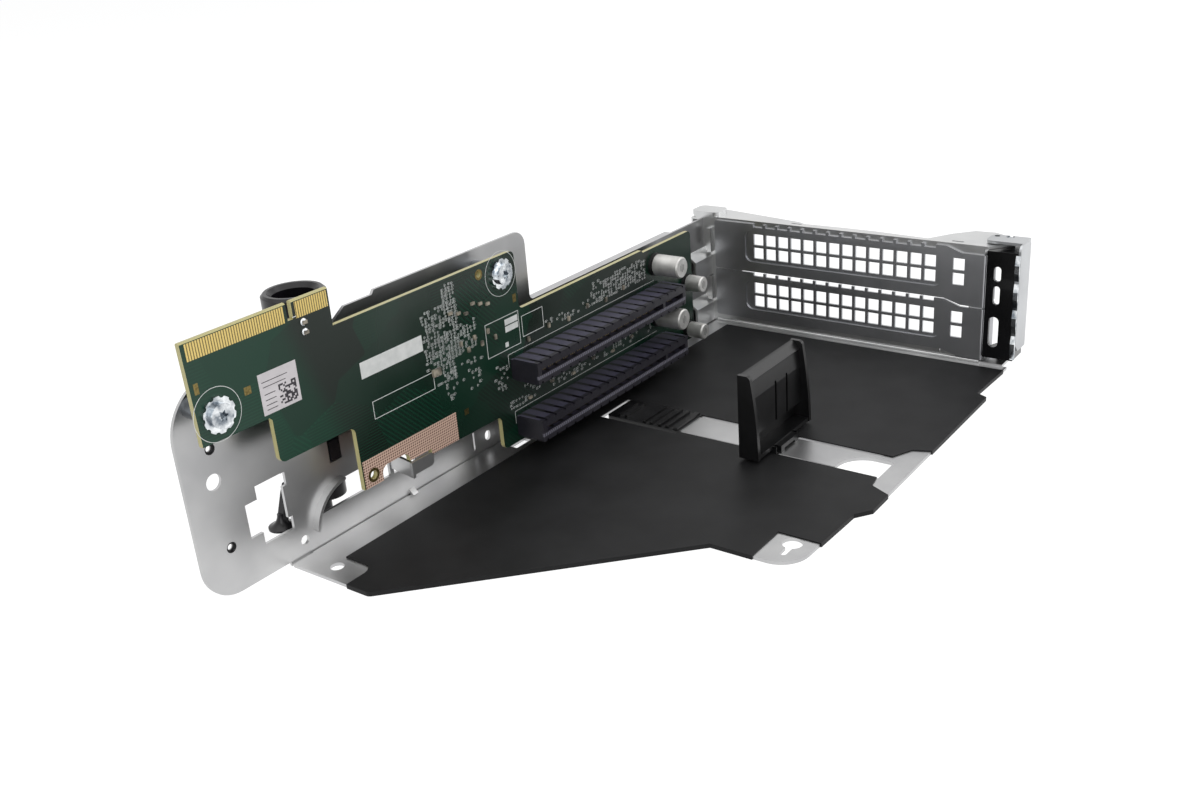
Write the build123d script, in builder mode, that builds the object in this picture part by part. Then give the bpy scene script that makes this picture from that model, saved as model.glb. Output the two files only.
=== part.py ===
from build123d import *
import os

# Server riser assembly, lying on its flat cover: a folded sheet-steel cage, a riser board on its side
# wall with two card slots, two vented filler brackets at the rear with their latch, and a card holder.
# Millimetres. X runs along the board to the brackets, Y out through the board's back, Z up.
# X = 0 is the inner face of the filler brackets, Y = 0 the component face of the board, and
# Z = 0 the underside of the flat cover.

# Sheet metal of the cage
sheet = 1.0
bend = 0.4
cover_length = 228.5
cover_depth = 120.0
cover_nose = 20.7
cover_slant = 68.0
cover_waist = cover_length - cover_slant
film_thickness = 0.4
film_rear = 2.3
film_wall_y = -0.8

# Side wall, and the plate that runs on in front of the cover
standoff_length = 9.4
plate_length = 257.0
plate_height = 65.5
plate_lift = 1.5
plate_corner = 11.0
wall_height = 70.0
wall_step = 1.3
wall_tall_start = 194.0
wall_tall_end = 112.3
wall_low_height = 45.0
wall_lip = 3.5
hook_root_x = 185.3
hook_x = 187.4
hook_length = 9.3
hook_height = 4.2
collar_places = [(-246.6, 15.6), (-246.8, 45.5)]
collar_radius = 2.1
collar_height = 0.4
lightening_hole = (-247.7, 36.1)
lightening_radius = 2.4
fold_hole = (-222.3, 5.7)
fold_hole_radius = 1.5
cross_place = (-231.1, 20.2)
cross_width = 9.1
cross_height = 18.2
cross_arm_place = (-237.7, 20.1)
cross_arm_width = 4.3
cross_arm_height = 10.4
cross_notch_places = [(-225.9, 27.1), (-225.9, 13.1)]
cross_notch_width = 1.6
cross_notch_height = 4.2
sweep_front_x = 216.6
sweep_middle_x = 212.6
sweep_middle_z = 15.4
sweep_end_x = 206.0
opening_floor = 10.6
opening_top = 18.2
lip_depth = 2.4

# Riser board
board_thickness = 1.6
board_bottom = 4.3
board_rear_gap = 26.5
board_rear_height = 48.2
board_mid_height = 69.2
board_tab_height = 80.2
board_front = 255.8
board_leg_foot = 17.3
board_corner = 2.0
notch_width = 11.4
notch_height = 4.4
tab_rear = 208.3
mid_rear = 131.0
finger_height = 4.6
finger_thickness = 0.05
label_thickness = 0.1
board_stand = 1.2
tab_key = 222.0
tab_key_width = 1.9
tab_key_depth = 5.0

# Card slots
slot_length = 89.0
slot_width = 7.5
slot_height = 11.25
slot_pitch = 20.32
slot_rear_gap = 48.7
first_slot_z = 10.15
groove_width = 2.2
groove_depth = 8.4
groove_end = 2.0
key_from_rear = 14.5
key_width = 1.5
rib_count = 17
rib_slit = 0.9
rib_depth = 0.7
rib_height = 4.8
contact_count = 20
contact_pitch = 4.0
contact_width = 3.4
contact_thickness = 0.25
contact_set = 3.2

# Screws and standoffs of the board
screw_shank = 1.45
screw_grip = 5.0
flange_radius = 5.0
scallop_count = 10
scallop_radius = 0.8
flange_thickness = 0.9
head_radius = 3.4
head_height = 2.2
drive_depth = 1.2
standoff_radius = 3.2
hole_clearance = 0.3
front_screw_x = 249.5
front_screw_z = 58.9
mid_screw_x = 138.2
mid_screw_z = 63.4

# Capacitors beside the slots
large_can_radius = 4.0
large_can_height = 12.4
large_can_x = 52.0
small_can_radius = 3.15
small_can_height = 8.2
small_can_x = 31.0
can_z = 41.8
small_can_z = 28.4
can_base = 1.2
can_edge = 0.45
small_can_pitch = 19.4

# Filler brackets
bracket_sheet = 0.9
bracket_height = 19.9
bracket_z = 4.8
bracket_length = 107.0
bracket_left = 5.0
bracket_step = 1.9
bracket_tab = 11.4
tab_notch = 1.3
dip_start = 93.0
dip_end = 99.0
vent_columns = 14
vent_pitch = 5.53
vent_pitch_z = 5.6
vent_width = 4.3
vent_height = 4.5
vent_start = 15.0
vent_row_z = 7.8
pan_depth = 0.6
pan_corner = 3.0
pan_middle = 50.3
pan_length = 82.5
pan_level = 10.5
pan_height = 12.8

# Top flange of the bracket wall, and the latch at its end
flange_depth = 14.0
flange_waist = 5.0
pivot_x = 11.2
pivot_y = 112.4
pivot_radius = 1.2
pivot_reach_y = -110.0
pocket_length = 12.0
ear_width = 4.6
raised_width = 9.0
raised_height = 1.8
latch_width = 11.1
cover_panel = 1.2
plate_sheet = 0.8
pin_head = 0.4
spring_width = 1.6
spring_waves = 4
spring_pitch = 9.8

# Card holder and its catch in the cover's channel
channel_x = 101.4
channel_width = 15.4
channel_start = 8.5
window_length = 31.5
window_side = 2.0
slit_width = 1.2
slit_length = 68.0
holder_x = 111.0
holder_width = 36.4
holder_y = 69.6
holder_depth = 7.0
holder_top_depth = 4.3
holder_face_depth = 3.6
holder_skin = 1.2
holder_ledge = 1.4
holder_end = 1.5
flute_middle = 22.0
flute_spacing = 7.5
flute_width = 1.1
holder_top = 31.0
holder_base = 2.5
tongue_bottom = 0.2
catch_thickness = 1.2
ridge_height = 0.9

# Guide sleeve behind the side wall
sleeve_x = 202.0
sleeve_radius = 8.6
sleeve_flare = 9.4
sleeve_neck = 5.5
sleeve_bottom = 9.0
sleeve_top = 74.5
bore_radius = 6.4
bore_length = 30.0
sleeve_gap = 1.1
foot_x = 223.4
foot_bottom = 8.4
arm_z = 18.0
arm_height = 3.0
arm_reach = 219.8
stem_width = 2.4
foot_height = 4.4
spigot_bottom = 2.4
foot_radius = 4.0

# Places worked out from the sizes above
wall_y = board_thickness + standoff_length
wall_back = wall_y + sheet
rear_x = bracket_sheet
rear_back = rear_x + sheet
slot_levels = [first_slot_z, first_slot_z + slot_pitch]
slot_middle_x = -slot_rear_gap - slot_length / 2
bracket_levels = [bracket_z, bracket_z + slot_pitch]
flange_z = bracket_levels[-1] + bracket_height
screw_places = [(-front_screw_x, front_screw_z), (-mid_screw_x, mid_screw_z)]
channel_middle = -channel_x + channel_width / 2
window_end = -channel_start - window_length
inside = Plane.XZ
wall_face = Plane.XZ.offset(-wall_y)
os.makedirs("parts", exist_ok=True)


def save(piece, name):
    """Label a finished piece and write its STEP file."""
    piece.part.label = name
    export_step(piece.part, f"parts/{name}.step")


def on_face(level):
    """The plane that stands level mm out of the board's component face, looking into the card bay."""
    return Plane.XZ.offset(level)


# Cage sheet: the flat cover and the side wall are one folded steel blank
cover_outline = [
    (rear_back, wall_back),
    (-cover_length, wall_back),
    (-cover_length, -cover_nose),
    (-cover_waist, -cover_nose - cover_slant),
    (-cover_waist, -cover_depth + 5.0),
    (-cover_waist + 34.5, -cover_depth + 3.7),
    (-cover_waist + 39.5, -cover_depth),
    (-board_rear_gap - 2.0, -cover_depth),
    (-board_rear_gap, -cover_depth + 4.0),
    (rear_back, -cover_depth + 3.0),
]
tab_corner_y = -cover_depth + 5.0
with BuildPart() as cage_sheet:
    with BuildSketch(Plane.XY) as cover_sketch:
        with BuildLine():
            Polyline(*cover_outline, close=True)
        make_face()
        fillet(cover_sketch.vertices().group_by(Axis.X)[0].sort_by(Axis.Y)[0], radius=2.0)
        tab_corner = cover_sketch.vertices().sort_by_distance((-cover_waist, tab_corner_y))[0]
        fillet(tab_corner, radius=9.0)
        with Locations((-cover_length + 5.6, -2.1)):
            Circle(2.1, mode=Mode.SUBTRACT)
        with Locations((-cover_waist + 11.5, -cover_depth + 11.3)):
            Circle(3.0, mode=Mode.SUBTRACT)
        with Locations((-cover_waist + 8.5, -cover_depth + 11.0)):
            SlotOverall(8.0, 2.0, mode=Mode.SUBTRACT)
        with Locations((-mid_rear - 2.3, wall_y - 7.5)):
            Rectangle(7.5, 3.0, mode=Mode.SUBTRACT)
        with Locations((channel_middle - window_side / 2, window_end + window_length / 2)):
            Rectangle(channel_width + window_side, window_length, mode=Mode.SUBTRACT)
        with BuildSketch(mode=Mode.SUBTRACT) as release_window:
            with Locations((-channel_x, -cover_depth + 7.0)):
                Rectangle(12.0, 15.0, align=(Align.MIN, Align.MIN))
            fillet(release_window.vertices().sort_by(Axis.X)[-2:].sort_by(Axis.Y)[-1], radius=9.0)
    extrude(amount=sheet)
    # the two long slits that guide the card holder
    with BuildSketch(Plane.XY):
        with Locations((-channel_x, window_end), (-channel_x + channel_width - slit_width, window_end)):
            Rectangle(slit_width, slit_length, align=(Align.MIN, Align.MAX))
    extrude(amount=sheet, mode=Mode.SUBTRACT)
    with BuildSketch(wall_face) as wall_sketch:
        with BuildLine():
            Polyline(
                (rear_back, 0),
                (-cover_length, 0),
                (-cover_length, plate_lift),
                (-plate_length, plate_lift),
                (-plate_length, plate_height),
                (-wall_tall_start - 5.0, plate_height),
                (-wall_tall_start, wall_height - wall_step),
                (-wall_tall_start + 11.0, wall_height - wall_step),
                (-wall_tall_start + 12.0, wall_height),
                (-wall_tall_end, wall_height),
                (-wall_tall_end, wall_low_height),
                (rear_back, wall_low_height),
                close=True,
            )
        make_face()
        fillet(wall_sketch.vertices().sort_by_distance((-plate_length, plate_lift))[0], radius=plate_corner)
        top_front = wall_sketch.vertices().sort_by_distance((-plate_length, plate_height))[0]
        fillet(top_front, radius=plate_corner + 5.0)
        fillet(wall_sketch.vertices().sort_by_distance((-wall_tall_end, wall_height))[0], radius=5.0)
        fillet(wall_sketch.vertices().sort_by_distance((-wall_tall_end, wall_low_height))[0], radius=2.0)
        # the large round hole, two thread-formed holes and the small hole by the fold
        with Locations(lightening_hole):
            Circle(lightening_radius, mode=Mode.SUBTRACT)
        with Locations(*collar_places):
            Circle(collar_radius - 0.5, mode=Mode.SUBTRACT)
        with Locations(fold_hole):
            Circle(fold_hole_radius, mode=Mode.SUBTRACT)
        # the stepped cross cutout
        with Locations(cross_place):
            Rectangle(cross_width, cross_height, mode=Mode.SUBTRACT)
        with Locations(cross_arm_place):
            Rectangle(cross_arm_width, cross_arm_height, mode=Mode.SUBTRACT)
        with Locations(*cross_notch_places):
            Rectangle(cross_notch_width, cross_notch_height, mode=Mode.SUBTRACT)
        # the square window of the sleeve's snap hook
        with Locations((-sleeve_x - 4.3, 28.2)):
            Rectangle(4.6, 7.2, mode=Mode.SUBTRACT)
        # the long opening above the fold, with its swept front end
        with BuildLine():
            sweep_front = (-sweep_front_x, opening_floor)
            sweep_end = (-sweep_end_x, opening_top)
            ThreePointArc(sweep_front, (-sweep_middle_x, sweep_middle_z), sweep_end)
            Polyline(
                sweep_end,
                (-hook_root_x - sheet, opening_top),
                (-hook_root_x - sheet, opening_floor),
                sweep_front,
            )
        make_face(mode=Mode.SUBTRACT)
        opening_height = opening_top - opening_floor
        with Locations((-hook_root_x + sheet / 2, opening_floor)):
            Rectangle(hook_length, opening_height, align=(Align.MIN, Align.MIN), mode=Mode.SUBTRACT)
        with Locations((-141.1, 5.6)):
            SlotOverall(3.4, 2.6, rotation=90, mode=Mode.SUBTRACT)
        with Locations((-148.0, 6.0)):
            Rectangle(0.8, 6.4, mode=Mode.SUBTRACT)
    extrude(amount=-sheet)
    # the narrow lip along the wall's low top edge
    with BuildSketch(Plane.XY.offset(wall_low_height - sheet)):
        with Locations((-wall_tall_end + 4.0, wall_y)):
            Rectangle(wall_tall_end - board_rear_gap, wall_lip, align=(Align.MIN, Align.MIN))
    extrude(amount=sheet)
    # the lip turned up round the opening's swept end
    with BuildSketch(wall_face):
        with BuildLine():
            ThreePointArc((-218.4, 7.6), (-213.7, 15.9), (-206.2, opening_top + 0.9))
            offset(amount=0.5, side=Side.BOTH)
        make_face()
    extrude(amount=lip_depth)
    # the hook lanced out of the long opening: it passes the board's notch and holds its face
    with BuildSketch(Plane.XY.offset(opening_floor + 2.4)):
        with BuildLine():
            Polyline(
                (-hook_root_x - sheet / 2, wall_back),
                (-hook_root_x + sheet / 2, wall_back),
                (-hook_x + sheet / 2, -sheet),
                (-hook_x - sheet / 2, -sheet),
                close=True,
            )
        make_face()
    extrude(amount=hook_height + 1.0)
    with BuildSketch(inside) as hook_face:
        with Locations((-hook_x - sheet / 2, opening_floor + 3.4)):
            Rectangle(hook_length, hook_height, align=(Align.MIN, Align.MIN))
        fillet(hook_face.vertices().group_by(Axis.X)[-1], radius=1.2)
    extrude(amount=sheet)
    # gusset pressed into the fold
    with BuildSketch(Plane.YZ.offset(-179.8)):
        with BuildLine():
            Polyline((wall_y, sheet), (wall_y - 1.8, sheet), (wall_y, sheet + 1.8), close=True)
        make_face()
    extrude(amount=2.2)
    # crease along the inside of the fold
    with BuildSketch(Plane.XY.offset(sheet)):
        with Locations((-cover_length, wall_y)):
            Rectangle(cover_length - 1.0, 0.6, align=(Align.MIN, Align.MAX))
    extrude(amount=-0.3, mode=Mode.SUBTRACT)
    # rolled collars of the thread-formed holes
    with BuildSketch(Plane.XZ.offset(-wall_back)):
        with Locations(*collar_places):
            Circle(collar_radius)
            Circle(collar_radius - 1.2, mode=Mode.SUBTRACT)
    extrude(amount=-collar_height)
    fold_edges = cage_sheet.edges().filter_by(Axis.X).filter_by_position(Axis.Z, -0.01, sheet + 0.01)
    outer_fold = fold_edges.filter_by_position(Axis.Y, wall_back - 0.01, wall_back + 0.01)
    fillet(outer_fold.sort_by(Axis.Z)[0], radius=bend + sheet)
    # relief slit where the fold stops at the front
    with BuildSketch(Plane.XY):
        with Locations((-cover_length - 0.5, wall_y)):
            Rectangle(8.5, 0.8, align=(Align.MIN, Align.MAX))
    extrude(amount=2 * sheet, mode=Mode.SUBTRACT)
save(cage_sheet, "cage_sheet")


# Insulating film: black film folded over the cover's cut edges, clear of the strip, tab and front corner
with BuildPart() as insulating_film:
    with BuildSketch(Plane.XY) as film_sketch:
        with BuildLine():
            Polyline(*cover_outline, close=True)
        make_face()
        fillet(film_sketch.vertices().group_by(Axis.X)[0].sort_by(Axis.Y)[0], radius=2.0)
        offset(amount=film_thickness)
    extrude(amount=sheet + film_thickness)
    with BuildSketch(Plane.XY) as sheet_room:
        with BuildLine():
            Polyline(*cover_outline, close=True)
        make_face()
        fillet(sheet_room.vertices().group_by(Axis.X)[0].sort_by(Axis.Y)[0], radius=2.0)
    extrude(amount=sheet, mode=Mode.SUBTRACT)
    with BuildSketch(Plane.XY):
        with Locations((-cover_length - 5, film_wall_y)):
            Rectangle(cover_length + 10, 20, align=(Align.MIN, Align.MIN))
        with BuildSketch() as bare_corner:
            with Locations((-cover_length - 5, -12.3)):
                Rectangle(15.3, 20, align=(Align.MIN, Align.MIN))
            fillet(bare_corner.vertices().sort_by(Axis.X)[-2:].sort_by(Axis.Y)[0], radius=4.0)
        with Locations((-cover_waist - 5, -cover_depth - 5)):
            Rectangle(19.9, 22.6, align=(Align.MIN, Align.MIN))
        with Locations((-film_rear, -cover_depth - 5)):
            Rectangle(10, cover_depth + 10, align=(Align.MIN, Align.MIN))
        with Locations((channel_middle, -channel_start)):
            Rectangle(channel_width, cover_depth, align=(Align.CENTER, Align.MAX))
        with Locations((channel_middle - window_side / 2, window_end + window_length / 2)):
            Rectangle(channel_width + window_side, window_length)
        with BuildSketch() as strip_mouth:
            with BuildLine():
                Polyline(
                    (-channel_x, -cover_depth + 7.4),
                    (-channel_x - 5.6, -cover_depth + 6.5),
                    (-channel_x - 9.4, -cover_depth - 1.0),
                    (-channel_x + channel_width + 9.6, -cover_depth - 1.0),
                    (-channel_x + channel_width + 7.3, -cover_depth + 5.4),
                    (-channel_x + channel_width, -cover_depth + 9.0),
                    close=True,
                )
            make_face()
            fillet(strip_mouth.vertices().sort_by(Axis.Y)[-4:], radius=1.6)
    extrude(amount=sheet + film_thickness, mode=Mode.SUBTRACT)
save(insulating_film, "insulating_film")


# Rear wall: the sheet behind the filler brackets, with its window, its top flange and the latch's lug
def pocket_section(pocket_top):
    """The pocket that takes a bracket's tail, as a bent strip seen along X, its lip at pocket_top."""
    return [
        (wall_y, pocket_top + 3.1),
        (wall_y - 3.8, pocket_top),
        (wall_y - 3.8, pocket_top - 8.0),
        (wall_y - 2.8, pocket_top - 8.0),
        (wall_y - 2.8, pocket_top - 0.6),
        (wall_y, pocket_top + 1.8),
    ]


with BuildPart() as rear_wall:
    with BuildSketch(Plane.YZ.offset(rear_x)):
        with Locations((-bracket_length, sheet)):
            Rectangle(bracket_length + wall_y, flange_z, align=(Align.MIN, Align.MIN))
        with BuildSketch(mode=Mode.SUBTRACT) as rear_window:
            with Locations((-bracket_length + 5.0, sheet + 5.0)):
                Rectangle(bracket_length - 12.0, flange_z - 8.2, align=(Align.MIN, Align.MIN))
            fillet(rear_window.vertices(), radius=2.0)
    extrude(amount=sheet)
    # the curved band and its two beads along the foot of the wall
    with BuildSketch(Plane.XZ.offset(bracket_length)):
        with BuildLine():
            Polyline((rear_x, sheet), (0.0, sheet), (0.0, sheet + 0.6), (0.4, sheet + 0.8))
            ThreePointArc((0.4, sheet + 0.8), (0.0, sheet + 1.2), (0.5, sheet + 1.6))
            Polyline((0.5, sheet + 1.6), (rear_x, sheet + 1.8), (rear_x, sheet))
        make_face()
    extrude(amount=-bracket_length - bracket_left)
    # pressed pad on the foot
    with BuildSketch(Plane.YZ.offset(rear_x - 0.4)):
        with Locations((-85.4, sheet + 2.9)):
            SlotOverall(13.0, 1.5)
    extrude(amount=0.4)
    # top flange, wide at both ends and waisted between
    with BuildSketch(Plane.XY.offset(flange_z)) as flange_sketch:
        with BuildLine():
            Polyline(
                (rear_x, -bracket_length - 1.0),
                (rear_x, wall_back + ear_width),
                (rear_x + 11.5, wall_back + ear_width),
                (flange_depth - 1.1, 6.6),
                (flange_waist + 1.3, -30.4),
                (flange_waist - 0.4, -33.7),
                (flange_waist, -50.6),
                (flange_waist - 0.1, -63.0),
                (flange_waist - 1.6, -84.6),
                (flange_depth - 1.6, -90.6),
                (flange_depth + 4.7, -97.0),
                (flange_depth + 5.3, -104.5),
                (pivot_x + 5.0, pivot_reach_y),
                (pivot_x + 3.0, -pivot_y - 2.8),
                (pivot_x - 2.7, -pivot_y - 2.8),
                close=True,
            )
        make_face()
        fillet(flange_sketch.vertices().group_by(Axis.Y)[-1], radius=3.0)
        with Locations((pivot_x, -pivot_y)):
            Circle(pivot_radius + hole_clearance, mode=Mode.SUBTRACT)
        with Locations((rear_back + 1.6, -30.6), (rear_back + 1.6, -96.0)):
            SlotOverall(4.6, 1.0, rotation=90, mode=Mode.SUBTRACT)
    extrude(amount=sheet)
    # raised tab over the wall's corner, and the box-folded ear under it, open to the front
    with BuildSketch(Plane.XY.offset(flange_z + sheet)) as raised_tab:
        with Locations((rear_x, wall_back + ear_width)):
            Rectangle(raised_width, ear_width + 8.0, align=(Align.MIN, Align.MAX))
        fillet(raised_tab.vertices(), radius=2.2)
    extrude(amount=raised_height)
    with BuildSketch(Plane.YZ.offset(rear_x)):
        with Locations((wall_back, flange_z)):
            Rectangle(ear_width, 6.0, align=(Align.MIN, Align.MAX))
    extrude(amount=4.5)
    with BuildSketch(Plane.YZ.offset(rear_x)):
        with Locations((wall_back + ear_width / 2, flange_z - 2.4)):
            Rectangle(ear_width - 1.4, 3.4)
    extrude(amount=3.5, mode=Mode.SUBTRACT)
    # end flange behind the brackets' bent tabs
    with BuildSketch(Plane.XY.offset(sheet)):
        with Locations((rear_back, -bracket_length)):
            Rectangle(bracket_tab, sheet, align=(Align.MIN, Align.MIN))
    extrude(amount=flange_z - sheet)
    # lug under the latch
    with BuildSketch(Plane.XY.offset(sheet)):
        with Locations((rear_x, -pivot_y - 3.2)):
            Rectangle(pivot_x + 2.4, pivot_y + 4.2 - bracket_length, align=(Align.MIN, Align.MIN))
        with Locations((pivot_x, -pivot_y)):
            Circle(pivot_radius + hole_clearance, mode=Mode.SUBTRACT)
    extrude(amount=sheet)
    # pockets for the brackets' tails, and the upright bead over each
    for level in bracket_levels:
        pocket_top = level + 4.6
        with BuildSketch(Plane.YZ.offset(-pocket_length)):
            with BuildLine():
                Polyline(*pocket_section(pocket_top), close=True)
            make_face()
        extrude(amount=pocket_length + rear_x)
        with BuildSketch(Plane.XY.offset(pocket_top + 1.8)):
            with Locations((rear_x, wall_y - 3.6)):
                Rectangle(rear_x + 1.2, 1.9, align=(Align.MAX, Align.CENTER))
        extrude(amount=10.0)
save(rear_wall, "rear_wall")


# Riser board: stands on the side wall, its outline stepped up to the raised edge-connector tab
board_outline = [
    (-board_front - 0.4, board_tab_height),
    (-board_front + 0.2, 52.0),
    (-234.4, 51.7),
    (-233.6, 50.9),
    (-233.6, 38.0),
    (-206.6, 37.7),
    (-206.4, board_leg_foot),
    (-145.1, board_leg_foot - 1.0),
    (-145.1, board_bottom),
    (-board_rear_gap, board_bottom),
    (-board_rear_gap, board_rear_height),
    (-59.0, board_rear_height),
    (-60.0, board_rear_height + 1.0),
    (-mid_rear, board_rear_height + 1.0),
    (-mid_rear, board_mid_height),
    (-tab_rear, board_mid_height),
    (-tab_rear, board_tab_height),
]
rounded = [(-233.6, 38.0), (-206.6, 37.7), (-145.1, board_leg_foot - 1.0)]
rounded += [(-145.1, board_bottom), (-board_rear_gap, board_rear_height)]
rounded += [(-mid_rear, board_mid_height), (-mid_rear, board_rear_height + 1.0)]
with BuildPart() as riser_board:
    with BuildSketch(inside) as board_sketch:
        with BuildLine():
            Polyline(*board_outline, close=True)
        make_face()
        for corner in rounded:
            nearest = board_sketch.vertices().sort_by_distance((corner[0], corner[1], 0))[0]
            fillet(nearest, radius=board_corner)
        with Locations((-tab_key, board_tab_height)):
            Rectangle(tab_key_width, 2 * tab_key_depth, mode=Mode.SUBTRACT)
        with BuildSketch(mode=Mode.SUBTRACT) as hook_notch:
            with Locations((-hook_x, board_leg_foot)):
                Rectangle(notch_width, 2 * notch_height, align=(Align.MAX, Align.CENTER))
                Rectangle(hook_length, 2.8, align=(Align.MIN, Align.CENTER))
            fillet(hook_notch.vertices().group_by(Axis.Y)[-1], radius=2.4)
        with Locations(*screw_places):
            Circle(screw_shank + hole_clearance, mode=Mode.SUBTRACT)
        with Locations((-148.3, 66.0)):
            Circle(1.0, mode=Mode.SUBTRACT)
        with Locations((-202.3, 20.6)):
            Circle(1.3, mode=Mode.SUBTRACT)
    extrude(amount=-board_thickness)
    tab_top = riser_board.faces().filter_by(Axis.Z).group_by(Axis.Z)[-1]
    chamfer(tab_top.edges().filter_by(Axis.X), length=0.4)
save(riser_board, "riser_board")


# Edge fingers: bands of gold plating on both faces of the tab, one on each side of the key
finger_z = board_tab_height - 0.6 - finger_height / 2
front_band = (-board_front + 0.9, -tab_key - tab_key_width)
rear_band = (-tab_key + tab_key_width, -tab_rear - 0.6)
with BuildPart() as edge_fingers:
    with BuildSketch(inside, Plane.XZ.offset(-board_thickness - finger_thickness)):
        for band_start, band_end in (front_band, rear_band):
            with Locations((band_start, finger_z)):
                Rectangle(band_end - band_start, finger_height, align=(Align.MIN, Align.CENTER))
    extrude(amount=finger_thickness)
save(edge_fingers, "edge_fingers")


# Card slots: ribbed black housings, each with a keyed groove along its mouth
def slot_housing(level):
    """One card slot with its groove, key and ribbed flanks, standing on the board at height level."""
    with BuildPart() as housing:
        with BuildSketch(inside):
            with Locations((slot_middle_x, level)):
                Rectangle(slot_length, slot_width)
        extrude(amount=slot_height)
        with BuildSketch(on_face(slot_height)):
            with Locations((slot_middle_x, level)):
                Rectangle(slot_length - 2 * groove_end, groove_width)
            with Locations((-slot_rear_gap - key_from_rear, level)):
                Rectangle(key_width, groove_width, mode=Mode.SUBTRACT)
        extrude(amount=-groove_depth, mode=Mode.SUBTRACT)
        rib_pitch = (slot_length - 2 * groove_end) / rib_count
        with BuildSketch(on_face(slot_height)):
            for index in range(rib_count + 1):
                slit_x = slot_middle_x - slot_length / 2 + groove_end + index * rib_pitch
                for side in (-1, 1):
                    with Locations((slit_x, level + side * (slot_width - rib_depth) / 2)):
                        Rectangle(rib_slit, rib_depth)
        extrude(amount=-rib_height, mode=Mode.SUBTRACT)
        with BuildSketch(inside):
            for side in (-1, 1):
                with Locations((slot_middle_x, level + side * (slot_width - rib_depth / 2) / 2)):
                    Rectangle(slot_length, rib_depth / 2)
        extrude(amount=board_stand, mode=Mode.SUBTRACT)
    return housing


def slot_contact_row(level):
    """The contact blades on both sides of one slot's groove, each as wide as a group of four contacts."""
    with BuildPart() as blades:
        with BuildSketch(on_face(slot_height - contact_set)):
            for side in (-1, 1):
                for index in range(contact_count):
                    blade_x = slot_middle_x + (index - (contact_count - 1) / 2) * contact_pitch
                    if abs(blade_x + slot_rear_gap + key_from_rear) > key_width / 2 + contact_width / 2:
                        with Locations((blade_x, level + side * (groove_width - contact_thickness) / 2)):
                            Rectangle(contact_width, contact_thickness)
        extrude(amount=-groove_depth + contact_set)
    return blades


lower_slot = slot_housing(slot_levels[0])
save(lower_slot, "lower_slot")
upper_slot = slot_housing(slot_levels[1])
save(upper_slot, "upper_slot")
lower_slot_contacts = slot_contact_row(slot_levels[0])
save(lower_slot_contacts, "lower_slot_contacts")
upper_slot_contacts = slot_contact_row(slot_levels[1])
save(upper_slot_contacts, "upper_slot_contacts")


# Capacitors: round cans on short bases, two large above the slots and two small near the brackets
large_can_places = [(-large_can_x, can_z), (-large_can_x, can_z - slot_pitch)]
small_can_places = [(-small_can_x, small_can_z), (-small_can_x, small_can_z - small_can_pitch)]
with BuildPart() as large_can_bases:
    with BuildSketch(inside):
        with Locations(*large_can_places):
            Circle(large_can_radius + 0.3)
    extrude(amount=can_base)
save(large_can_bases, "large_can_bases")

with BuildPart() as large_cans:
    with BuildSketch(on_face(can_base)):
        with Locations(*large_can_places):
            Circle(large_can_radius)
    extrude(amount=large_can_height - can_base)
    can_ends = large_cans.edges().filter_by(GeomType.CIRCLE).group_by(Axis.Y)
    chamfer(can_ends[0] + can_ends[-1], length=can_edge)
save(large_cans, "large_cans")

with BuildPart() as small_can_bases:
    with BuildSketch(inside):
        with Locations(*small_can_places):
            Circle(small_can_radius + 0.3)
    extrude(amount=can_base)
save(small_can_bases, "small_can_bases")

with BuildPart() as small_cans:
    with BuildSketch(on_face(can_base)):
        with Locations(*small_can_places):
            Circle(small_can_radius)
    extrude(amount=small_can_height - can_base)
    can_ends = small_cans.edges().filter_by(GeomType.CIRCLE).group_by(Axis.Y)
    chamfer(can_ends[0] + can_ends[-1], length=can_edge)
save(small_cans, "small_cans")


# Board screws and standoffs
with BuildPart() as board_screws:
    for place_x, place_z in screw_places:
        with BuildSketch(inside):
            with Locations((place_x, place_z)):
                Circle(flange_radius)
                with PolarLocations(flange_radius + 0.3, scallop_count):
                    Circle(scallop_radius, mode=Mode.SUBTRACT)
        extrude(amount=flange_thickness)
        with BuildSketch(on_face(flange_thickness)):
            with Locations((place_x, place_z)):
                Circle(head_radius)
        extrude(amount=head_height - flange_thickness)
        with BuildSketch(inside):
            with Locations((place_x, place_z)):
                Circle(screw_shank)
        extrude(amount=-screw_grip)
        with BuildSketch(on_face(head_height)):
            with Locations((place_x, place_z)):
                RegularPolygon(1.7, 3)
                RegularPolygon(1.7, 3, rotation=60)
        extrude(amount=-drive_depth, mode=Mode.SUBTRACT)
save(board_screws, "board_screws")

with BuildPart() as board_standoffs:
    with BuildSketch(Plane.XZ.offset(-board_thickness)):
        with Locations(*screw_places):
            Circle(standoff_radius)
            Circle(screw_shank + hole_clearance, mode=Mode.SUBTRACT)
    extrude(amount=-standoff_length)
save(board_standoffs, "board_standoffs")


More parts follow.
